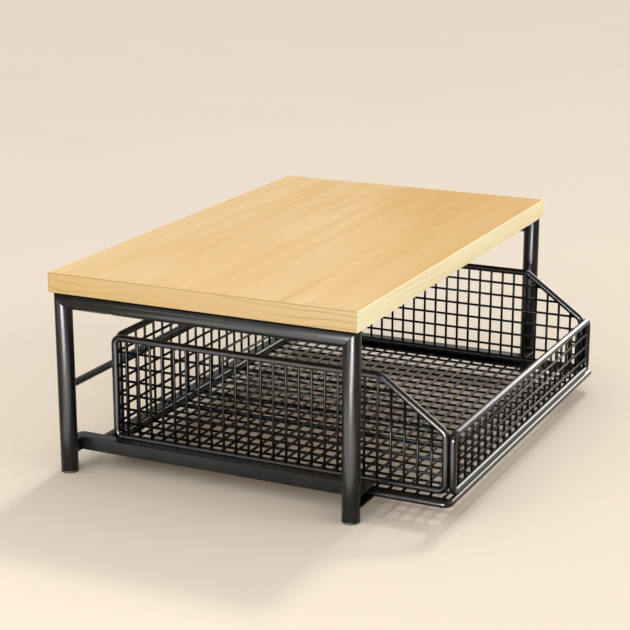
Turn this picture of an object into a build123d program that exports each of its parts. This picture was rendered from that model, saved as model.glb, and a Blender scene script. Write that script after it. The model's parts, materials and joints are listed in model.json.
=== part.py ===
from build123d import *
import os

# Worktop shelf on two tube frames, with a wire basket that slides on low runners.
# +Z is up, the basket pulls out towards -Y, and the origin is under the middle of the whole object.

# Board
board_length = 480
board_depth = 300
board_thickness = 18
band_thickness = 1
edge_round = 0.6

# Tube frames
frame_height = 170
tube_diameter = 16
tube_wall = 1.2
board_overhang = 1.5
foot_height = 2
plug_length = 10
plug_clearance = 0.1

# Screws that hold the board
screw_diameter = 4
screw_head_diameter = 8
screw_head_height = 2.6
screw_depth = 12
screw_spacing = 180
screw_clearance = 0.2
access_clearance = 1

# Runners, stop bar and rear rod
runner_rise = 14
runner_height = 12
sheet = 1.2
tab_length = 13
tab_flange = 8.5
corner_round = 5
bend_round = 1.5
crossbar_diameter = 7
crossbar_height = 80.5
stop_flange = 7

# Basket
rod_diameter = 6.5
rod_sides = 8
wire_diameter = 2.5
wire_sides = 4
drawer_reach = 71
rear_space = 26.3
side_height = 94.5
front_height = 51.5
slope_length = 60
base_lip = 12.5
base_end_lip = 7.6
rod_bend = 6
slope_bend = 10
mesh_long = 12.5
mesh_wide = 16.6
mesh_high = 13.4

# Fits
weld_gap = 0.05
slide_gap = 0.3
side_gap = 1.0
stop_gap = 0.5

# Places that follow from the sizes above
stand_y = drawer_reach / 2
tube_bore = tube_diameter - 2 * tube_wall
leg_x = board_length / 2 - board_overhang - tube_diameter / 2
leg_y = board_depth / 2 - board_overhang - tube_diameter / 2
rail_z = frame_height - weld_gap - tube_diameter / 2
rod = rod_diameter / 2
wire = wire_diameter / 2

web_x = leg_x - tube_diameter / 2 - tab_length
base_x = web_x - sheet - side_gap - rod
side_x = base_x - base_lip
flange_x = side_x + rod + side_gap
basket_width = 2 * side_x
basket_length = board_depth + drawer_reach - rear_space - rod_diameter - 2 * base_end_lip
base_front_y = stand_y - board_depth / 2 - drawer_reach + rod
side_front_y = base_front_y + base_end_lip
side_rear_y = side_front_y + basket_length
base_rear_y = side_rear_y + base_end_lip
basket_mid_y = (side_front_y + side_rear_y) / 2
front_loop_y = side_front_y - rod_diameter - weld_gap
back_loop_x = side_x - rod_diameter - weld_gap

base_z = runner_rise + sheet + slide_gap + rod
cross_wire_z = base_z + rod - wire
long_wire_z = cross_wire_z - wire_diameter - weld_gap
loop_bottom_z = base_z + rod_diameter + weld_gap
loop_top_z = loop_bottom_z + side_height
front_top_z = loop_bottom_z + front_height
window_inset = rod + weld_gap
wire_offset = wire + weld_gap / 2

long_cells = round(basket_length / mesh_long)
wide_cells = round(basket_width / mesh_wide)
high_cells = round(side_height / mesh_high)
front_cells = round(front_height / mesh_high)
long_pitch = basket_length / long_cells
wide_pitch = basket_width / wide_cells
high_pitch = side_height / high_cells
front_pitch = front_height / front_cells
back_pitch = 2 * back_loop_x / wide_cells

runner_half = leg_y + sheet / 2 + tab_flange
stop_web_y = base_rear_y + rod + stop_gap

SIDES = {"left": -1, "right": 1}
ENDS = {"front": -1, "rear": 1}

os.makedirs("parts", exist_ok=True)


def save(piece, name):
    piece.part.label = name
    export_step(piece.part, f"parts/{name}.step")


def corner(side, end, z):
    return Plane((side * leg_x, stand_y + end * leg_y, z))


def mitre(side, end):
    return Plane(origin=(side * leg_x, stand_y + end * leg_y, rail_z), x_dir=(1, 0, 0), z_dir=(0, end, -1))


def upright_plane(x):
    return Plane(origin=(x, 0, 0), x_dir=(0, 1, 0), z_dir=(1, 0, 0))


def facing_plane(y):
    return Plane(origin=(0, y, 0), x_dir=(1, 0, 0), z_dir=(0, -1, 0))


def rod_loop(name, plane, corners, bends):
    with BuildPart() as loop:
        with BuildLine(plane) as route:
            FilletPolyline(*corners, radius=bends, close=True)
        with BuildSketch(Plane(origin=route.line @ 0, z_dir=route.line % 0)):
            RegularPolygon(rod, rod_sides, major_radius=False, rotation=180 / rod_sides)
        sweep()
    save(loop, name)


def wire_row(name, start, length, spacing, count, window, corners, bends):
    """Straight parallel wires, cut off where they meet the rods of their loop."""
    with BuildPart() as row:
        with BuildSketch(start):
            with GridLocations(spacing, spacing, count, 1):
                RegularPolygon(wire, wire_sides, major_radius=False, rotation=180 / wire_sides)
        extrude(amount=length)
        with BuildSketch(window):
            with BuildLine():
                FilletPolyline(*corners, radius=bends, close=True)
            make_face()
            offset(amount=-window_inset, mode=Mode.REPLACE)
        extrude(amount=2 * wire_diameter, both=True, mode=Mode.INTERSECT)
    save(row, name)


# Board core, with pilot holes for the screws
with BuildPart() as top_board:
    with BuildSketch(Plane((0, stand_y, frame_height))):
        Rectangle(board_length - 2 * band_thickness, board_depth - 2 * band_thickness)
    extrude(amount=board_thickness)
    with BuildSketch(Plane((0, stand_y, frame_height))):
        with GridLocations(2 * leg_x, screw_spacing, 2, 2):
            Circle(screw_diameter / 2 + plug_clearance)
    extrude(amount=screw_depth + screw_clearance, mode=Mode.SUBTRACT)
save(top_board, "top_board")

# Edge bands: the front and rear ones run the full length
for end_name, end in ENDS.items():
    with BuildPart() as long_band:
        with BuildSketch(Plane((0, stand_y + end * (board_depth - band_thickness) / 2, frame_height))):
            Rectangle(board_length, band_thickness)
        extrude(amount=board_thickness)
        outer_face = long_band.faces().sort_by(Axis.Y)[-1 if end > 0 else 0]
        fillet(outer_face.edges(), edge_round)
    save(long_band, f"{end_name}_edge_band")

for side_name, side in SIDES.items():
    with BuildPart() as short_band:
        with BuildSketch(Plane((side * (board_length - band_thickness) / 2, stand_y, frame_height))):
            Rectangle(band_thickness, board_depth - 2 * band_thickness)
        extrude(amount=board_thickness)
        outer_face = short_band.faces().sort_by(Axis.X)[-1 if side > 0 else 0]
        fillet(outer_face.edges().filter_by(Axis.Y), edge_round)
    save(short_band, f"{side_name}_edge_band")

# Tube frames: a rail under the board, mitred to a leg at each end, with holes below to reach the screws
for side_name, side in SIDES.items():
    with BuildPart() as top_rail:
        with BuildSketch(Plane(origin=(side * leg_x, stand_y, rail_z), x_dir=(1, 0, 0), z_dir=(0, 1, 0))):
            Circle(tube_diameter / 2)
            Circle(tube_bore / 2, mode=Mode.SUBTRACT)
        extrude(amount=leg_y + tube_diameter / 2, both=True)
        for end in ENDS.values():
            split(bisect_by=mitre(side, end), keep=Keep.BOTTOM)
        with Locations(Plane(origin=(side * leg_x, stand_y, rail_z - tube_diameter / 2), z_dir=(0, 0, -1))):
            with GridLocations(screw_spacing, screw_spacing, 1, 2):
                CounterBoreHole(
                    radius=screw_diameter / 2 + screw_clearance,
                    counter_bore_radius=screw_head_diameter / 2 + access_clearance,
                    counter_bore_depth=tube_diameter / 2,
                    depth=tube_diameter,
                )
    save(top_rail, f"{side_name}_top_rail")

    for end_name, end in ENDS.items():
        with BuildPart() as leg:
            with BuildSketch(corner(side, end, foot_height)):
                Circle(tube_diameter / 2)
                Circle(tube_bore / 2, mode=Mode.SUBTRACT)
            extrude(amount=frame_height - foot_height)
            split(bisect_by=mitre(side, end), keep=Keep.TOP)
        save(leg, f"{side_name}_{end_name}_leg")

        with BuildPart() as foot:
            with BuildSketch(corner(side, end, 0)):
                Circle(tube_diameter / 2)
            extrude(amount=foot_height)
            with BuildSketch(corner(side, end, foot_height)):
                Circle(tube_bore / 2 - plug_clearance)
            extrude(amount=plug_length)
        save(foot, f"{side_name}_{end_name}_foot")

# Screws, whose heads sit inside the rails under the top wall, up into the board
head_rise = ((tube_bore / 2) ** 2 - (screw_head_diameter / 2) ** 2) ** 0.5
screw_seat_z = rail_z + head_rise - screw_clearance
with BuildPart() as board_screws:
    with BuildSketch(Plane((0, stand_y, screw_seat_z))):
        with GridLocations(2 * leg_x, screw_spacing, 2, 2):
            Circle(screw_head_diameter / 2)
    extrude(amount=-screw_head_height)
    with BuildSketch(Plane((0, stand_y, screw_seat_z))):
        with GridLocations(2 * leg_x, screw_spacing, 2, 2):
            Circle(screw_diameter / 2)
    extrude(amount=frame_height + screw_depth - screw_seat_z)
save(board_screws, "board_screws")

# Runners: channels open towards the basket, whose ends turn out to the legs
for side_name, side in SIDES.items():
    with BuildPart() as runner:
        with BuildSketch(Plane((0, stand_y, runner_rise))):
            with Locations((side * (leg_x + flange_x) / 2, 0)):
                Rectangle(leg_x - flange_x, 2 * runner_half)
            inner_corners = vertices().sort_by(Axis.X)[:2] if side > 0 else vertices().sort_by(Axis.X)[2:]
            fillet(inner_corners, corner_round)
            with Locations((side * (leg_x + web_x) / 2, 0)):
                Rectangle(leg_x - web_x, 2 * (leg_y - sheet / 2), mode=Mode.SUBTRACT)
        extrude(amount=runner_height)
        fold = runner.edges().filter_by(Axis.Y).group_by(Axis.X)[-1 if side > 0 else 0]
        fillet(fold, bend_round)
        with BuildSketch(Plane((0, stand_y, runner_rise + sheet))):
            with Locations((side * leg_x / 2, 0)):
                Rectangle(leg_x, 2 * runner_half)
            with Locations((side * (leg_x + web_x - sheet) / 2, 0)):
                Rectangle(leg_x - web_x + sheet, 2 * leg_y + sheet, mode=Mode.SUBTRACT)
        extrude(amount=runner_height - 2 * sheet, mode=Mode.SUBTRACT)
        with BuildSketch(Plane((side * leg_x, stand_y, 0))):
            with GridLocations(2 * leg_y, 2 * leg_y, 1, 2):
                Circle(tube_diameter / 2 + weld_gap)
        extrude(amount=frame_height, mode=Mode.SUBTRACT)
    save(runner, f"{side_name}_runner")

# Stop bar: a channel open to the front, which the basket's rear rod enters when it is shut
with BuildPart() as rear_stop_bar:
    with BuildSketch(Plane(origin=(0, 0, runner_rise + runner_height / 2), x_dir=(0, 1, 0), z_dir=(1, 0, 0))):
        with Locations((stop_web_y + sheet - (stop_flange + sheet) / 2, 0)):
            Rectangle(stop_flange + sheet, runner_height)
        with Locations((stop_web_y - stop_flange / 2, 0)):
            Rectangle(stop_flange, runner_height - 2 * sheet, mode=Mode.SUBTRACT)
    extrude(amount=flange_x - weld_gap, both=True)
save(rear_stop_bar, "rear_stop_bar")

# Rear rod between the rear legs, shaped to their round sides
with BuildPart() as rear_crossbar:
    with BuildSketch(Plane(origin=(0, stand_y + leg_y, crossbar_height), z_dir=(1, 0, 0))):
        Circle(crossbar_diameter / 2)
    extrude(amount=leg_x, both=True)
    with BuildSketch(Plane((0, stand_y + leg_y, 0))):
        with GridLocations(2 * leg_x, 2 * leg_x, 2, 1):
            Circle(tube_diameter / 2 + weld_gap)
    extrude(amount=frame_height, mode=Mode.SUBTRACT)
save(rear_crossbar, "rear_crossbar")

# Basket floor: one bent rod, cross wires set in flush with its top, long wires welded under them
base_corners = [(-base_x, base_front_y), (base_x, base_front_y), (base_x, base_rear_y), (-base_x, base_rear_y)]
base_plane = Plane.XY.offset(base_z)
rod_loop("base_loop", base_plane, base_corners, rod_bend)

with BuildPart() as base_cross_wires:
    with BuildSketch(Plane(origin=(0, basket_mid_y, cross_wire_z), x_dir=(0, 1, 0), z_dir=(1, 0, 0))):
        with GridLocations(long_pitch, long_pitch, long_cells + 1, 1):
            RegularPolygon(wire, wire_sides, major_radius=False, rotation=180 / wire_sides)
    extrude(amount=base_x - window_inset, both=True)
save(base_cross_wires, "base_cross_wires")

with BuildPart() as base_long_wires:
    with BuildSketch(Plane(origin=(0, basket_mid_y, long_wire_z), x_dir=(1, 0, 0), z_dir=(0, 1, 0))):
        with GridLocations(wide_pitch, wide_pitch, wide_cells + 1, 1):
            RegularPolygon(wire, wire_sides, major_radius=False, rotation=180 / wire_sides)
    extrude(amount=(base_rear_y - base_front_y) / 2 - window_inset, both=True)
save(base_long_wires, "base_long_wires")

# Basket sides: full height at the back, sloping down to the low front
side_corners = [
    (side_front_y, loop_bottom_z),
    (side_rear_y, loop_bottom_z),
    (side_rear_y, loop_top_z),
    (side_front_y + slope_length, loop_top_z),
    (side_front_y, front_top_z),
]
side_bends = [rod_bend, rod_bend, rod_bend, slope_bend, slope_bend]
for side_name, side in SIDES.items():
    side_plane = upright_plane(side * side_x)
    rod_loop(f"{side_name}_side_loop", side_plane, side_corners, side_bends)

    outer_x = side * (side_x + wire_offset)
    upright_start = Plane(origin=(outer_x, basket_mid_y, loop_bottom_z), x_dir=(0, 1, 0), z_dir=(0, 0, 1))
    wire_row(f"{side_name}_side_uprights", upright_start, side_height, long_pitch, long_cells - 1,
             side_plane, side_corners, side_bends)

    inner_x = side * (side_x - wire_offset)
    side_mid_z = (loop_bottom_z + loop_top_z) / 2
    level_start = Plane(origin=(inner_x, side_front_y, side_mid_z), x_dir=(0, 0, 1), z_dir=(0, 1, 0))
    wire_row(f"{side_name}_side_levels", level_start, basket_length, high_pitch, high_cells - 1,
             side_plane, side_corners, side_bends)

# Basket front, ahead of the sides: level wires outside
front_corners = [
    (-side_x, loop_bottom_z),
    (side_x, loop_bottom_z),
    (side_x, front_top_z),
    (-side_x, front_top_z),
]
front_plane = facing_plane(front_loop_y)
rod_loop("front_loop", front_plane, front_corners, rod_bend)

front_upright_start = Plane(origin=(0, front_loop_y + wire_offset, loop_bottom_z))
wire_row("front_uprights", front_upright_start, front_height, wide_pitch, wide_cells - 1,
         front_plane, front_corners, rod_bend)

front_mid_z = (loop_bottom_z + front_top_z) / 2
front_level_start = Plane(origin=(-side_x, front_loop_y - wire_offset, front_mid_z),
                          x_dir=(0, 0, 1), z_dir=(1, 0, 0))
wire_row("front_levels", front_level_start, basket_width, front_pitch, front_cells - 1,
         front_plane, front_corners, rod_bend)

# Basket back, between the sides: upright wires outside
back_corners = [
    (-back_loop_x, loop_bottom_z),
    (back_loop_x, loop_bottom_z),
    (back_loop_x, loop_top_z),
    (-back_loop_x, loop_top_z),
]
back_plane = facing_plane(side_rear_y)
rod_loop("back_loop", back_plane, back_corners, rod_bend)

back_upright_start = Plane(origin=(0, side_rear_y + wire_offset, loop_bottom_z))
wire_row("back_uprights", back_upright_start, side_height, back_pitch, wide_cells - 1,
         back_plane, back_corners, rod_bend)

back_level_start = Plane(origin=(-back_loop_x, side_rear_y - wire_offset, (loop_bottom_z + loop_top_z) / 2),
                         x_dir=(0, 0, 1), z_dir=(1, 0, 0))
wire_row("back_levels", back_level_start, 2 * back_loop_x, high_pitch, high_cells - 1,
         back_plane, back_corners, rod_bend)
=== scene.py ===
import json
import math
import bpy
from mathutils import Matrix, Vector

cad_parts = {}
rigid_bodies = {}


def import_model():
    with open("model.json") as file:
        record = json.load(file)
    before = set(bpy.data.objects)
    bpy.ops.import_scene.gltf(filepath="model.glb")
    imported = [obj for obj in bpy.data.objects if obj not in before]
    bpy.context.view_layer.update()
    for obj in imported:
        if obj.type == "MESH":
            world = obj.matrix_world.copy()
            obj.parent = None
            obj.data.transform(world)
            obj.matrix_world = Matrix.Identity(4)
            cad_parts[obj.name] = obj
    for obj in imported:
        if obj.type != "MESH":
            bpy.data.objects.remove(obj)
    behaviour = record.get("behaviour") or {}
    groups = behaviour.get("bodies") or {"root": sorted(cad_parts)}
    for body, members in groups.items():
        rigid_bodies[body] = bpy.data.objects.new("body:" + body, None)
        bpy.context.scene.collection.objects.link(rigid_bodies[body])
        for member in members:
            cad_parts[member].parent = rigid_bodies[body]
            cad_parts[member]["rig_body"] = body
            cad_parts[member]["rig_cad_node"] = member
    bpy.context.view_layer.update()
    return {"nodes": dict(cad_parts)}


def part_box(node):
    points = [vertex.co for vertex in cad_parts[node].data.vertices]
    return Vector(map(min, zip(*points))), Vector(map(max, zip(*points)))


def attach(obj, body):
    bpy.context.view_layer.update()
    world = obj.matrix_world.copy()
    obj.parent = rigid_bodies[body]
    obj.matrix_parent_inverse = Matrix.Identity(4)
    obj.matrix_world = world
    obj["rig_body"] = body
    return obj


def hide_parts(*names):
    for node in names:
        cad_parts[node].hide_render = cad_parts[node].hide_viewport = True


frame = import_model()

tiny = 1e-6  # metres, for telling places apart
xAxis, yAxis, zAxis = range(3)
print("frame loaded:", len(frame["nodes"]), "nodes")


# Hand tools

def deselectAll():
    if bpy.context.mode != "OBJECT":
        bpy.ops.object.mode_set(mode="OBJECT")
    bpy.ops.object.select_all(action="DESELECT")


def choose(obj):
    deselectAll()
    obj.select_set(True)
    bpy.context.view_layer.objects.active = obj


def settle(obj):  # place, turn and size go into the mesh
    bpy.ops.object.transform_apply(location=True, rotation=True, scale=True)
    return obj


def editAll():  # edit mode, with everything selected
    bpy.ops.object.mode_set(mode="EDIT")
    bpy.ops.mesh.select_all(action="SELECT")


def pick(obj, kind, test):  # picks edges or polygons by where their corners are, and stays in edit mode
    bpy.ops.object.mode_set(mode="EDIT")
    bpy.ops.mesh.select_mode(type="EDGE" if kind == "edges" else "FACE")
    bpy.ops.mesh.select_all(action="DESELECT")
    bpy.ops.object.mode_set(mode="OBJECT")
    corners = obj.data.vertices
    for item in getattr(obj.data, kind):
        item.select = test([corners[i].co for i in item.vertices])
    bpy.ops.object.mode_set(mode="EDIT")


def level(axis, height):  # a test: every corner lies at that height on the axis
    return lambda corners: all(abs(c[axis] - height) < tiny for c in corners)


def bevelPicked(width, segments):
    bpy.ops.mesh.bevel(offset=width, segments=segments, affect="EDGES")
    bpy.ops.object.mode_set(mode="OBJECT")


def stepIn(obj, height, inset, rise):  # the face at that height is inset and pulled up
    pick(obj, "polygons", level(zAxis, height))
    bpy.ops.mesh.inset(thickness=inset)
    bpy.ops.mesh.extrude_region_move(TRANSFORM_OT_translate={"value": (0, 0, rise)})
    bpy.ops.object.mode_set(mode="OBJECT")


def applyModifier(obj, kind, **settings):
    modifier = obj.modifiers.new(kind.lower(), kind)
    for key, value in settings.items():
        setattr(modifier, key, value)
    bpy.ops.object.modifier_apply(modifier=modifier.name)


def easeEdges(obj, width, segments, degrees):
    applyModifier(obj, "BEVEL", width=width, segments=segments, limit_method="ANGLE",
                  angle_limit=math.radians(degrees))


def repeatRow(obj, count, step):
    applyModifier(obj, "ARRAY", count=count, use_relative_offset=False, use_constant_offset=True,
                  constant_offset_displace=step)


def smoothShade(degrees):  # edges sharper than this stay crisp
    bpy.ops.object.shade_smooth_by_angle(angle=math.radians(degrees))


def cutAway(point, normal, hollow):  # what lies on the normal's side goes, and the cut is closed
    editAll()
    bpy.ops.mesh.bisect(plane_co=point, plane_no=normal, use_fill=hollow, clear_outer=True)
    if not hollow:
        bpy.ops.mesh.select_all(action="SELECT")
        bpy.ops.mesh.fill_holes(sides=0)
        bpy.ops.mesh.delete_loose()
    bpy.ops.object.mode_set(mode="OBJECT")


def carve(obj, tool):  # the tool's shape is taken out of the piece, and the tool is thrown away
    choose(obj)
    applyModifier(obj, "BOOLEAN", operation="DIFFERENCE", solver="EXACT", object=tool)
    bpy.data.objects.remove(tool)


def cleanMesh():
    editAll()
    bpy.ops.mesh.remove_doubles(threshold=tiny)
    bpy.ops.mesh.normals_make_consistent(inside=False)
    bpy.ops.object.mode_set(mode="OBJECT")


def addBox(low, high):
    deselectAll()
    bpy.ops.mesh.primitive_cube_add(size=1, location=(low + high) / 2)
    obj = bpy.context.object
    obj.scale = high - low
    return settle(obj)


def addRound(start, end, radius, sides, ends):  # a straight round bar from point to point
    run = end - start
    deselectAll()
    bpy.ops.mesh.primitive_cylinder_add(
        vertices=sides, radius=radius, depth=run.length, end_fill_type=ends,
        location=(start + end) / 2, rotation=run.to_track_quat("Z", "Y").to_euler())
    return settle(bpy.context.object)


def finishPiece(obj, name, body, finish, node):
    obj.name = name
    obj.data.name = name
    obj.data.materials.clear()
    obj.data.materials.append(finish)
    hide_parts(node)
    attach(obj, body)


# Shader maths

class Signal:  # a shader socket that can stand in an expression
    def __init__(self, finish, socket):
        self.finish = finish
        self.socket = socket

    def join(self, operation, first, second):
        return self.finish.node("ShaderNodeMath", {"operation": operation}, {0: first, 1: second})

    def __add__(self, other):
        return self.join("ADD", self, other)

    def __sub__(self, other):
        return self.join("SUBTRACT", self, other)

    def __rsub__(self, other):
        return self.join("SUBTRACT", other, self)

    def __mul__(self, other):
        return self.join("MULTIPLY", self, other)

    def __pow__(self, other):
        return self.join("POWER", self, other)

    __radd__ = __add__
    __rmul__ = __mul__


class Finish:  # one material, with its nodes
    def __init__(self, name):
        self.material = bpy.data.materials.new(name)
        self.material.use_nodes = True
        self.tree = self.material.node_tree
        self.shader = self.tree.nodes["Principled BSDF"]

    def feed(self, socket, value):
        if isinstance(value, Signal):
            self.tree.links.new(value.socket, socket)
        else:
            socket.default_value = value

    def node(self, kind, settings=None, sockets=None, output=0):
        made = self.tree.nodes.new(kind)
        for key, value in (settings or {}).items():
            setattr(made, key, value)
        for key, value in (sockets or {}).items():
            self.feed(made.inputs[key], value)
        return Signal(self, made.outputs[output])

    def place(self, turn=(0, 0, 0), stretch=(1, 1, 1)):  # object coordinates, turned, then stretched
        here = self.node("ShaderNodeTexCoord", output="Object")
        turned = self.node("ShaderNodeMapping", None, {"Vector": here, "Rotation": turn})
        return self.node("ShaderNodeVectorMath", {"operation": "MULTIPLY"}, {0: turned, 1: stretch})

    def part(self, vector, axis):
        return self.node("ShaderNodeSeparateXYZ", None, {0: vector}, output=axis)

    def noise(self, where, scale=1, detail=2):
        return self.node("ShaderNodeTexNoise", None, {"Vector": where, "Scale": scale, "Detail": detail})

    def ease(self, value, low, high):  # 0 below low, 1 above high, smooth between
        return self.node("ShaderNodeMapRange", {"interpolation_type": "SMOOTHSTEP"},
                         {"Value": value, "From Min": low, "From Max": high})

    def mix(self, share, first, second, how="MIX"):
        return self.node("ShaderNodeMix", {"data_type": "RGBA", "blend_type": how},
                         {0: share, 6: first, 7: second}, output=2)  # the colour sockets go by number

    def bump(self, height, strength, distance):
        return self.node("ShaderNodeBump", None,
                         {"Height": height, "Strength": strength, "Distance": distance})

    def set(self, **sockets):
        for key, value in sockets.items():
            words = "".join(" " + c if c.isupper() else c for c in key).strip()
            self.feed(self.shader.inputs[words], value)
        return self.material

    def setGloss(self, gloss):
        self.shader.inputs["Specular IOR Level"].default_value = gloss


# Finishes

woodSettings = {
    "pale": (0.79, 0.585, 0.315, 1), "deep": (0.655, 0.405, 0.143, 1), "line": (0.44, 0.26, 0.10, 1),
    "roughness": 0.62, "fibreRoughness": 0.10, "streakRoughness": 0.05, "gloss": 0.1,
    "driftRange": (0.35, 0.68), "streakRange": (0.40, 0.72), "poreRange": (0.62, 0.74),
    "driftShare": 0.34, "streakShare": 0.26, "fibreShare": 0.22, "poreShare": 0.14, "glueShare": 0.7,
    "wander": 12,  # how fast the year lines stray across the grain
    "lineThinness": 7,
    # the heading and range below set a painted reflection: the top turns deeper gold towards the front right
    # corner and stays paler, as if sheened, elsewhere
    "sheenFadeAlong": 0.354, "sheenFadeAcross": 0.935, "sheenFadeRange": (-0.03, 0.105),  # metres along that heading
    "fibreRelief": 0.5, "reliefStrength": 0.08, "reliefDepth": 0.0001,
}
woodLayers = {  # each noise's stretch along and across the grain
    "drift": {"stretch": (2.2, 5, 5), "detail": 2},  # broad warm and pale zones
    "streak": {"stretch": (3.2, 62, 62), "detail": 4},
    "fibre": {"stretch": (14, 620, 620), "detail": 3},
    "fade": {"stretch": (7, 40, 40), "detail": 2},  # where the year lines fade out
    "pores": {"stretch": (38, 1000, 1000), "detail": 1},
}
topWood = {  # rings to the metre, and how fast and how far the year lines sweep
    "turn": (0, 0, 0), "rings": 38, "sweep": (3, 9), "fade": (0.38, 0.62), "lines": 0.16,
    # the top takes the painted reflection gradient at full share; the front band takes a little of it, the
    # short bands none
    "warm": 0.66, "tint": (0.965, 0.965, 0.965, 1), "glue": None}
# the front band's tint, far paler and bluer than the rear band's, is painted light: a painted sheen and
# light from the front, laid over the edge band's own pale colour
frontEdgeLitWood = {
    "turn": (0, 0, 0), "rings": 210, "sweep": (6, 22), "fade": (0.38, 0.62), "lines": 0.30,
    "warm": 0.10, "tint": (1.22, 1.57, 2.08, 1), "glue": None}
rearEdgeWood = dict(frontEdgeLitWood, tint=(1.12, 1.18, 1.22, 1))
shortEdgeWood = {
    "turn": (0, 0, math.radians(-90)), "rings": 150, "sweep": (9, 34), "fade": (0.28, 0.60), "lines": 0.50,
    "warm": 0, "tint": (1.08, 1.16, 1.20, 1), "glue": (0.0011, 0.0004)}  # metres under the top


def woodFinish(name, turn, rings, sweep, fade, lines, warm, tint, glue):
    wood = Finish(name)
    wood.setGloss(woodSettings["gloss"])

    def layer(layerName):
        settings = woodLayers[layerName]
        return wood.noise(wood.place(turn, settings["stretch"]), detail=settings["detail"])

    grain = wood.place(turn)
    along, across, height = [wood.part(grain, axis) for axis in range(3)]
    drift = wood.ease(layer("drift"), *woodSettings["driftRange"])
    streak = wood.ease(layer("streak"), *woodSettings["streakRange"])
    fibre = layer("fibre")
    pores = wood.ease(layer("pores"), *woodSettings["poreRange"])
    wander = wood.noise(wood.place(turn, (sweep[0], woodSettings["wander"], woodSettings["wander"])))
    phase = (across + height) * (2 * math.pi * rings) + wander * sweep[1]
    wave = wood.node("ShaderNodeMath", {"operation": "SINE"}, {0: phase}) * 0.5 + 0.5
    yearLines = wave ** woodSettings["lineThinness"] * wood.ease(layer("fade"), *fade)
    # painted reflection: this gradient turns the wood deeper gold towards the front right corner and leaves
    # it paler, as if sheened, elsewhere
    paintedSheenFade = wood.ease(along * woodSettings["sheenFadeAlong"] - across * woodSettings["sheenFadeAcross"],
                       *woodSettings["sheenFadeRange"])  # grows towards the front right corner
    tone = (drift * woodSettings["driftShare"] + streak * woodSettings["streakShare"]
            + fibre * woodSettings["fibreShare"] + paintedSheenFade * warm)
    colour = wood.mix(tone, woodSettings["pale"], woodSettings["deep"])
    colour = wood.mix(yearLines * lines, colour, woodSettings["line"])
    colour = wood.mix(pores * woodSettings["poreShare"], colour, woodSettings["line"])
    if glue:  # a dark seam under the top
        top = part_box("top_board")[1].z
        seam = wood.ease(height, *[top - depth for depth in glue])
        colour = wood.mix(seam * woodSettings["glueShare"], colour, woodSettings["line"])
    colour = wood.mix(1.0, colour, tint, "MULTIPLY")
    roughness = (fibre * woodSettings["fibreRoughness"] + streak * woodSettings["streakRoughness"]
                 + woodSettings["roughness"])
    relief = wood.bump(fibre * woodSettings["fibreRelief"] - pores,
                       woodSettings["reliefStrength"], woodSettings["reliefDepth"])
    return wood.set(BaseColor=colour, Roughness=roughness, Normal=relief)


coatSettings = {"peelScale": 900, "cloudScale": 60, "cloudDetail": 3, "cloudRange": (0.35, 0.7),
                "cloudRoughness": 0.1, "peelRoughness": 0.06, "reliefStrength": 0.015, "reliefDepth": 0.0001}
tubePaint = {"dark": (0.0030, 0.0029, 0.0028, 1), "light": (0.0060, 0.0058, 0.0055, 1),
             "roughness": 0.23, "gloss": 0.24}
rodPaint = {"dark": (0.0020, 0.0019, 0.0018, 1), "light": (0.0040, 0.0038, 0.0036, 1),
            "roughness": 0.15, "gloss": 0.34}
wirePaint = {"dark": (0.0010, 0.00095, 0.0009, 1), "light": (0.0022, 0.0021, 0.0020, 1),
             "roughness": 0.19, "gloss": 0.09}


def powderCoat(name, dark, light, roughness, gloss):
    coat = Finish(name)
    coat.setGloss(gloss)
    peel = coat.noise(coat.place(), coatSettings["peelScale"])
    cloud = coat.noise(coat.place(), coatSettings["cloudScale"], coatSettings["cloudDetail"])
    unevenness = cloud * coatSettings["cloudRoughness"] + peel * coatSettings["peelRoughness"]
    return coat.set(BaseColor=coat.mix(coat.ease(cloud, *coatSettings["cloudRange"]), dark, light),
                    Roughness=unevenness + roughness,
                    Normal=coat.bump(peel, coatSettings["reliefStrength"], coatSettings["reliefDepth"]))


plasticSettings = {"dark": (0.008, 0.008, 0.008, 1), "light": (0.02, 0.02, 0.02, 1),
                   "scale": 2600, "detail": 1, "roughness": 0.5, "sparkRoughness": 0.15,
                   "reliefStrength": 0.15, "reliefDepth": 0.0001}


def footPlastic(name):
    plastic = Finish(name)
    spark = plastic.noise(plastic.place(), plasticSettings["scale"], plasticSettings["detail"])
    relief = plastic.bump(spark, plasticSettings["reliefStrength"], plasticSettings["reliefDepth"])
    return plastic.set(BaseColor=plastic.mix(spark, plasticSettings["dark"], plasticSettings["light"]),
                       Roughness=spark * plasticSettings["sparkRoughness"] + plasticSettings["roughness"],
                       Normal=relief)


steelSettings = {"dark": (0.05, 0.05, 0.05, 1), "light": (0.11, 0.105, 0.10, 1),
                 "scale": 300, "stretch": (1, 1, 30), "roughness": 0.28, "latheRoughness": 0.2}


def screwSteel(name):
    steel = Finish(name)
    lathe = steel.noise(steel.place(stretch=steelSettings["stretch"]), steelSettings["scale"])
    return steel.set(BaseColor=steel.mix(lathe, steelSettings["dark"], steelSettings["light"]),
                     Roughness=lathe * steelSettings["latheRoughness"] + steelSettings["roughness"],
                     Metallic=1.0)


boardWood = woodFinish("boardWood", **topWood)
# a lit copy of the edge band wood, with painted light in its tint
frontBandWood = woodFinish("frontBandWood", **frontEdgeLitWood)
rearBandWood = woodFinish("rearBandWood", **rearEdgeWood)
shortBandWood = woodFinish("shortBandWood", **shortEdgeWood)
tubeCoat = powderCoat("tubeCoat", **tubePaint)
rodCoat = powderCoat("rodCoat", **rodPaint)
wireCoat = powderCoat("wireCoat", **wirePaint)
blackPlastic = footPlastic("blackPlastic")
darkSteel = screwSteel("darkSteel")
print("finishes made")


# Board and its edge bands

boardSettings = {"seam": 0.00015, "coreSegments": 2, "arris": 0.0006, "arrisSegments": 4, "smoothAngle": 40}


def makeCore():
    core = addBox(*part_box("top_board"))
    pick(core, "edges", lambda corners: True)
    bevelPicked(boardSettings["seam"], boardSettings["coreSegments"])
    finishPiece(core, "boardCore", "stand", boardWood, "top_board")


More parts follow.
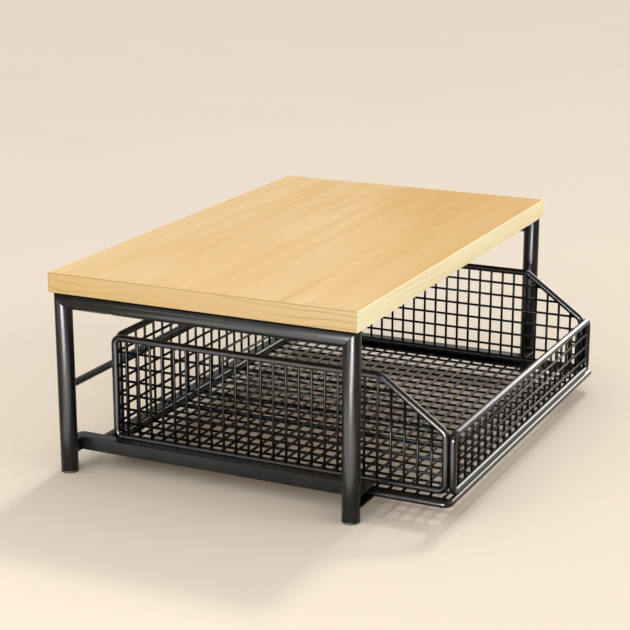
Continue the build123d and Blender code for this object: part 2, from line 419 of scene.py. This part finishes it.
def makeBand(node, name, axis, outward, wood):
    low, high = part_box(node)
    outer, inner = (high[axis], low[axis]) if outward > 0 else (low[axis], high[axis])
    band = addBox(low, high)
    pick(band, "edges", level(axis, outer))
    bevelPicked(boardSettings["arris"], boardSettings["arrisSegments"])
    pick(band, "edges", level(axis, inner))
    bevelPicked(boardSettings["seam"], 1)
    smoothShade(boardSettings["smoothAngle"])
    finishPiece(band, name, "stand", wood, node)


makeCore()
makeBand("front_edge_band", "frontBand", yAxis, -1, frontBandWood)
makeBand("rear_edge_band", "rearBand", yAxis, 1, rearBandWood)
makeBand("left_edge_band", "leftBand", xAxis, -1, shortBandWood)
makeBand("right_edge_band", "rightBand", xAxis, 1, shortBandWood)
print("board and bands made")


# Tube frames

tubeSettings = {"sides": 48, "wall": 0.0012, "spare": 0.004, "seam": 0.0003, "seamSegments": 2,
                "seamAngle": 40, "smoothAngle": 35}
footSettings = {"sides": 48, "round": 0.0008, "roundSegments": 4, "plugStep": 0.0018, "smoothAngle": 35}
screwSettings = {"sides": 24, "head": 0.008, "headHeight": 0.0026, "shank": 0.004, "access": 0.010,
                 "passage": 0.0044, "dome": 0.0011, "domeSegments": 4, "recessLength": 0.0044,
                 "recessWidth": 0.0011, "recessDepth": 0.0013, "smoothAngle": 35}


def makeTube(start, end):
    low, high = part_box("left_front_leg")
    tube = addRound(start, end, (high.x - low.x) / 2, tubeSettings["sides"], "NOTHING")
    applyModifier(tube, "SOLIDIFY", thickness=tubeSettings["wall"], offset=-1, use_even_offset=True)
    cleanMesh()
    return tube


def finishTube(tube, name, node):
    easeEdges(tube, tubeSettings["seam"], tubeSettings["seamSegments"], tubeSettings["seamAngle"])
    smoothShade(tubeSettings["smoothAngle"])
    finishPiece(tube, name, "stand", tubeCoat, node)


def screwPlaces():
    low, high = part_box("board_screws")
    inset = screwSettings["head"] / 2
    return [Vector((x, y, low.z))
            for x in (low.x + inset, high.x - inset) for y in (low.y + inset, high.y - inset)]


def makeStepped(entry, step, top, wide, narrow):  # a round form that steps in from wide to narrow
    form = addRound(entry, Vector((entry.x, entry.y, step)), wide, screwSettings["sides"], "NGON")
    stepIn(form, step, wide - narrow, top - step)
    return form


def makeRail(side):
    low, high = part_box(f"{side}_top_rail")
    middle = (low + high) / 2
    radius = (high.z - low.z) / 2
    start = Vector((middle.x, low.y, middle.z))
    end = Vector((middle.x, high.y, middle.z))
    spare = Vector((0, tubeSettings["spare"], 0))
    rail = makeTube(start - spare, end + spare)
    cutAway(start + Vector((0, radius, 0)), (0, -1, -1), True)
    cutAway(end - Vector((0, radius, 0)), (0, 1, -1), True)
    for at in screwPlaces():
        if at.x * middle.x > 0:  # on this side
            entry = Vector((at.x, at.y, low.z - tubeSettings["spare"]))
            carve(rail, makeStepped(entry, middle.z, high.z + tubeSettings["spare"],
                                    screwSettings["access"] / 2, screwSettings["passage"] / 2))
    finishTube(rail, f"{side}Rail", f"{side}_top_rail")
    return middle.z


def makeLeg(node, name, outward, railHeight):
    low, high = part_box(node)
    mid = (low + high) / 2
    leg = makeTube(Vector((mid.x, mid.y, low.z)), Vector((mid.x, mid.y, high.z + tubeSettings["spare"])))
    cutAway((mid.x, mid.y, railHeight), (0, -outward, 1), True)
    finishTube(leg, name, node)
    return low.z


def makeFoot(node, name, legEnd):
    low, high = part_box(node)
    mid = (low + high) / 2
    foot = addRound(Vector((mid.x, mid.y, low.z)), Vector((mid.x, mid.y, legEnd)), (high.x - low.x) / 2,
                    footSettings["sides"], "NGON")
    pick(foot, "edges", level(zAxis, low.z))
    bevelPicked(footSettings["round"], footSettings["roundSegments"])
    stepIn(foot, legEnd, footSettings["plugStep"], high.z - legEnd)
    smoothShade(footSettings["smoothAngle"])
    finishPiece(foot, name, "stand", blackPlastic, node)


def makeFrame(side):
    railHeight = makeRail(side)
    for endName, outward in (("front", -1), ("rear", 1)):
        name = f"{side}{endName.title()}"
        legEnd = makeLeg(f"{side}_{endName}_leg", f"{name}Leg", outward, railHeight)
        makeFoot(f"{side}_{endName}_foot", f"{name}Foot", legEnd)


makeFrame("left")
makeFrame("right")
print("frames and feet made")


# Folded sheet: runners and stop bar, from the CAD shape with its edges eased

sheetSettings = {"flatAngle": 1, "ease": 0.0003, "easeSegments": 2, "easeAngle": 50, "smoothAngle": 35}


def makeFolded(node, name):
    choose(frame["nodes"][node])
    bpy.ops.object.duplicate()
    folded = bpy.context.object
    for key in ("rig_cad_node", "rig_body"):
        del folded[key]
    cleanMesh()
    editAll()
    bpy.ops.mesh.dissolve_limited(angle_limit=math.radians(sheetSettings["flatAngle"]))
    bpy.ops.object.mode_set(mode="OBJECT")
    easeEdges(folded, sheetSettings["ease"], sheetSettings["easeSegments"], sheetSettings["easeAngle"])
    smoothShade(sheetSettings["smoothAngle"])
    finishPiece(folded, name, "stand", tubeCoat, node)


makeFolded("left_runner", "leftRunner")
makeFolded("right_runner", "rightRunner")
makeFolded("rear_stop_bar", "rearStopBar")
print("runners and stop bar made")


# Rods of the basket, bent from straight bar

rodSettings = {"sides": 20, "bend": 0.006, "slopeBend": 0.010, "slopeLength": 0.060,
               "stepAngle": 9, "fewestSteps": 3}


def extrudeBy(offset):
    bpy.ops.mesh.extrude_region_move(TRANSFORM_OT_translate={"value": offset})


def bendRod(name, node, corners, bends, radius):
    start = (corners[-1] + corners[0]) / 2
    heading = (corners[0] - corners[-1]).normalized()
    deselectAll()
    bpy.ops.mesh.primitive_circle_add(vertices=rodSettings["sides"], radius=radius, location=start,
                                      rotation=heading.to_track_quat("Z", "Y").to_euler())
    rod = settle(bpy.context.object)
    bpy.ops.object.mode_set(mode="EDIT")
    bpy.ops.mesh.select_mode(type="VERT")
    bpy.ops.mesh.select_all(action="SELECT")
    here = start
    for corner, following, bend in zip(corners, corners[1:] + corners[:1], bends):
        leaving = (following - corner).normalized()
        turn = heading.angle(leaving)
        back = bend * math.tan(turn / 2)
        axis = heading.cross(leaving).normalized()
        bendStart = corner - heading * back
        extrudeBy(bendStart - here)
        steps = max(rodSettings["fewestSteps"], round(math.degrees(turn) / rodSettings["stepAngle"]))
        bpy.ops.mesh.spin(steps=steps, angle=-turn, center=bendStart + axis.cross(heading) * bend, axis=axis)
        here = corner + leaving * back
        heading = leaving
    extrudeBy(start - here)
    bpy.ops.object.mode_set(mode="OBJECT")
    cleanMesh()
    bpy.ops.object.shade_smooth()
    finishPiece(rod, name, "drawer", rodCoat, node)


def loopCorners(node, flat, radius):  # the four rod centres of a flat rectangular loop, in order
    low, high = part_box(node)
    inset = Vector((radius, radius, radius))
    low, high = low + inset, high - inset
    across, up = [axis for axis in range(3) if axis != flat]
    corners = []
    for atAcross, atUp in ((low, low), (high, low), (high, high), (low, high)):
        corner = (low + high) / 2
        corner[across] = atAcross[across]
        corner[up] = atUp[up]
        corners.append(corner)
    return corners


def makeLoops():
    low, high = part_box("front_loop")
    radius = (high.y - low.y) / 2
    bend = rodSettings["bend"]
    for node, name, flat in (("base_loop", "baseLoop", zAxis), ("front_loop", "frontLoop", yAxis),
                             ("back_loop", "backLoop", yAxis)):
        bendRod(name, node, loopCorners(node, flat, radius), [bend] * 4, radius)
    for side in ("left", "right"):
        node = f"{side}_side_loop"
        bottomFront, bottomRear, topRear, topFront = loopCorners(node, xAxis, radius)
        slopeTop = topFront + Vector((0, rodSettings["slopeLength"], 0))
        slopeFoot = Vector((bottomFront.x, bottomFront.y, high.z - radius))  # level with the front's top
        corners = [bottomFront, bottomRear, topRear, slopeTop, slopeFoot]
        bends = [bend] * 3 + [rodSettings["slopeBend"]] * 2
        bendRod(f"{side}SideLoop", node, corners, bends, radius)
    return radius


rodRadius = makeLoops()
print("rod loops bent")


# Mesh wires of the basket

wireSettings = {"sides": 10, "endRound": 0.0003, "endSegments": 2, "smoothAngle": 50}
panelRows = (  # node, piece, the wires' axis, the row's axis, wires, reach into the rod in rod radii
    ("base_cross_wires", "baseCrossWires", xAxis, yAxis, 27, 0.5),
    ("base_long_wires", "baseLongWires", yAxis, xAxis, 24, 0.5),
    ("front_uprights", "frontUprights", zAxis, xAxis, 22, 1),
    ("front_levels", "frontLevels", xAxis, zAxis, 3, 1),
    ("back_uprights", "backUprights", zAxis, xAxis, 22, 1),
    ("back_levels", "backLevels", xAxis, zAxis, 6, 1),
)
sideRows = (("uprights", zAxis, yAxis, 25), ("levels", yAxis, zAxis, 6))


def makeWires(node, along, across, count, reach):  # one wire, then a row of it
    low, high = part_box(node)
    thick = min(high - low)
    start = low + Vector((thick, thick, thick)) / 2
    end = start.copy()
    start[along] = low[along] - reach
    end[along] = high[along] + reach
    wire = addRound(start, end, thick / 2, wireSettings["sides"], "NGON")
    pick(wire, "edges", lambda corners: abs(corners[0][along] - corners[1][along]) < tiny)
    bevelPicked(wireSettings["endRound"], wireSettings["endSegments"])
    step = Vector((0, 0, 0))
    step[across] = (high[across] - low[across] - thick) / (count - 1)
    repeatRow(wire, count, step)
    smoothShade(wireSettings["smoothAngle"])
    return wire


def finishWires(wires, name, node):
    finishPiece(wires, name, "drawer", wireCoat, node)


def makePanelMesh():
    for node, name, along, across, count, reach in panelRows:
        finishWires(makeWires(node, along, across, count, reach * rodRadius), name, node)


def makeSideMesh(side):  # trimmed along the side loop's slope
    low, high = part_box(f"{side}_side_loop")
    slopeFoot = Vector((0, low.y + rodRadius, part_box("front_loop")[1].z - rodRadius))
    slopeTop = Vector((0, low.y + rodRadius + rodSettings["slopeLength"], high.z - rodRadius))
    slopeNormal = Vector((0, slopeFoot.z - slopeTop.z, slopeTop.y - slopeFoot.y))
    for row, along, across, count in sideRows:
        node = f"{side}_side_{row}"
        wires = makeWires(node, along, across, count, rodRadius)
        cutAway(slopeFoot, slopeNormal, False)
        finishWires(wires, f"{side}Side{row.title()}", node)


makePanelMesh()
makeSideMesh("left")
makeSideMesh("right")
print("mesh wires made")


# Rear rod and screws

crossbarSettings = {"sides": 32, "bite": 0.0008, "smoothAngle": 60,
                    "welds": ((0.0022, 1.0), (0.0010, 1.12), (0.0, 1.4))}  # metres from the end, swelling


def makeCrossbar():  # its ends swell into weld beads
    low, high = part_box("rear_crossbar")
    mid = (low + high) / 2
    bite = Vector((crossbarSettings["bite"], 0, 0))
    start = Vector((low.x, mid.y, mid.z)) - bite
    end = Vector((high.x, mid.y, mid.z)) + bite
    bar = addRound(start, end, (high.z - low.z) / 2, crossbarSettings["sides"], "NGON")
    for inward, at in ((1, start), (-1, end)):
        for back, swell in crossbarSettings["welds"]:
            ring = at + Vector((inward * back, 0, 0))
            if back:
                editAll()
                bpy.ops.mesh.bisect(plane_co=ring, plane_no=(1, 0, 0))
            pick(bar, "edges", level(xAxis, ring.x))
            bpy.ops.transform.resize(value=(1, swell, swell), center_override=ring)
            bpy.ops.object.mode_set(mode="OBJECT")
    smoothShade(crossbarSettings["smoothAngle"])
    finishPiece(bar, "rearCrossbar", "stand", rodCoat, "rear_crossbar")


def makeScrews():  # pan heads with a cross recess, seen through the holes under the rails
    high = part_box("board_screws")[1]
    at, besideIt, acrossIt, _ = screwPlaces()
    screw = makeStepped(at, at.z + screwSettings["headHeight"], high.z, screwSettings["head"] / 2,
                        screwSettings["shank"] / 2)
    pick(screw, "edges", level(zAxis, at.z))
    bevelPicked(screwSettings["dome"], screwSettings["domeSegments"])
    half = Vector((screwSettings["recessLength"] / 2, screwSettings["recessWidth"] / 2,
                   screwSettings["recessDepth"]))
    for slot in (half, Vector((half.y, half.x, half.z))):
        carve(screw, addBox(at - slot, at + slot))
    for other in (besideIt, acrossIt):
        repeatRow(screw, 2, other - at)
    smoothShade(screwSettings["smoothAngle"])
    finishPiece(screw, "boardScrews", "stand", darkSteel, "board_screws")


makeCrossbar()
makeScrews()
print("rear rod and screws made")


# Floor, light and camera

floorSettings = {"size": 60, "pale": (0.80, 0.71, 0.61, 1), "shade": (0.77, 0.685, 0.585, 1),
                 "roughness": 0.9, "cloudScale": 3, "cloudDetail": 3}
coolTint, warmTint = (1.0, 0.99, 0.97), (1.0, 0.97, 0.93)
sunSettings = {"azimuth": 92, "elevation": 46, "distance": 3, "strength": 1.1, "spread": 9, "tint": warmTint}
lightSettings = [
    {"name": "rightLight", "azimuth": 73, "elevation": 18, "distance": 2.6, "wide": 1.9, "tall": 1.1,
     "watts": 56, "tint": coolTint, "lights": False},
    {"name": "stripLight", "azimuth": -74, "elevation": 2, "distance": 2.2, "wide": 0.7, "tall": 0.4,
     "watts": 120, "tint": coolTint, "lights": False},
    {"name": "lowLight", "azimuth": -78, "elevation": -5, "distance": 0.75, "wide": 0.14, "tall": 0.07,
     "watts": 3, "tint": coolTint, "lights": False},
    {"name": "edgeLight", "azimuth": -116, "elevation": 3, "distance": 2.2, "wide": 0.8, "tall": 0.4,
     "watts": 9, "tint": warmTint, "lights": False},
    {"name": "frontLight", "azimuth": 5, "elevation": 28, "distance": 3.2, "wide": 2.0, "tall": 1.2,
     "watts": 26, "tint": warmTint, "lights": True},
    {"name": "sideLight", "azimuth": -98, "elevation": 28, "distance": 1.3, "wide": 1.2, "tall": 0.6,
     "watts": 3.2, "tint": warmTint, "lights": True},
]
glowSettings = {"place": (-0.58, -0.03, 0.002), "wide": 0.6, "deep": 0.5, "watts": 4.5,
                "tint": (1.0, 0.98, 0.95)}
skySettings = {"colour": (1.0, 0.98, 0.95, 1), "horizon": 0.36, "zenith": 0.82, "rise": 0.75}
cameraSettings = {"aim": Vector((0.01124, 0.04337, 0.10158)), "distance": 1.70509, "azimuth": -64.596,
                  "elevation": 15.919, "focalPixels": 1727.3, "framePixels": 630, "sensor": 36}


def bearing(azimuth, elevation):  # the direction from the object out to that place
    az, el = math.radians(azimuth), math.radians(elevation)
    return Vector((math.sin(az) * math.cos(el), -math.cos(az) * math.cos(el), math.sin(el)))


def hang(name, data, azimuth, elevation, distance):  # a light or the camera, looking at the object
    out = bearing(azimuth, elevation)
    hung = bpy.data.objects.new(name, data)
    hung.location = cameraSettings["aim"] + out * distance
    hung.rotation_euler = out.to_track_quat("Z", "Y").to_euler()
    bpy.context.scene.collection.objects.link(hung)
    return hung


def makeFloor():
    deselectAll()
    bpy.ops.mesh.primitive_plane_add(size=floorSettings["size"])
    floor = bpy.context.object
    floor.name = "floor"
    paint = Finish("floorPaint")
    paint.setGloss(0)
    cloud = paint.noise(paint.place(), floorSettings["cloudScale"], floorSettings["cloudDetail"])
    floor.data.materials.append(paint.set(
        BaseColor=paint.mix(cloud, floorSettings["pale"], floorSettings["shade"]),
        Roughness=floorSettings["roughness"]))


def makeSun():
    lamp = bpy.data.lights.new("sun", "SUN")
    lamp.energy = sunSettings["strength"]
    lamp.angle = math.radians(sunSettings["spread"])
    lamp.color = sunSettings["tint"]
    hang("sun", lamp, sunSettings["azimuth"], sunSettings["elevation"], sunSettings["distance"])


def makePanelLamp(name, wide, tall, watts, tint):
    lamp = bpy.data.lights.new(name, "AREA")
    lamp.shape = "RECTANGLE"
    lamp.size = wide
    lamp.size_y = tall
    lamp.energy = watts
    lamp.color = tint
    return lamp


def makeLight(name, azimuth, elevation, distance, wide, tall, watts, tint, lights):
    light = hang(name, makePanelLamp(name, wide, tall, watts, tint), azimuth, elevation, distance)
    light.visible_diffuse = lights  # some only show as gloss
    light.visible_camera = False


def makeFloorGlow():  # the bright floor beside the stand, as the legs mirror it down to their feet
    lamp = makePanelLamp("floorGlow", glowSettings["wide"], glowSettings["deep"], glowSettings["watts"],
                         glowSettings["tint"])
    glow = bpy.data.objects.new("floorGlow", lamp)
    glow.location = glowSettings["place"]
    glow.rotation_euler = (math.pi, 0, 0)  # faces up
    glow.visible_diffuse = False
    glow.visible_camera = False
    bpy.context.scene.collection.objects.link(glow)


def makeSky():  # dim at the horizon, bright overhead
    sky = bpy.data.worlds.new("studio")
    bpy.context.scene.world = sky
    sky.use_nodes = True
    nodes, links = sky.node_tree.nodes, sky.node_tree.links
    where = nodes.new("ShaderNodeTexCoord")
    split = nodes.new("ShaderNodeSeparateXYZ")
    climb = nodes.new("ShaderNodeMapRange")
    climb.interpolation_type = "SMOOTHSTEP"
    climb.inputs["From Max"].default_value = skySettings["rise"]
    climb.inputs["To Min"].default_value = skySettings["horizon"]
    climb.inputs["To Max"].default_value = skySettings["zenith"]
    glow = nodes["Background"]
    glow.inputs["Color"].default_value = skySettings["colour"]
    links.new(where.outputs["Generated"], split.inputs[0])
    links.new(split.outputs["Z"], climb.inputs["Value"])
    links.new(climb.outputs[0], glow.inputs["Strength"])


def makeCamera():
    lens = bpy.data.cameras.new("camera")
    lens.sensor_width = cameraSettings["sensor"]
    lens.lens = cameraSettings["focalPixels"] / cameraSettings["framePixels"] * cameraSettings["sensor"]
    bpy.context.scene.camera = hang("camera", lens, cameraSettings["azimuth"], cameraSettings["elevation"],
                                    cameraSettings["distance"])


makeFloor()
makeSun()
for settings in lightSettings:
    makeLight(**settings)
makeFloorGlow()
makeSky()
makeCamera()
bpy.context.scene.view_settings.view_transform = "Standard"
print("floor, light and camera made")

deselectAll()
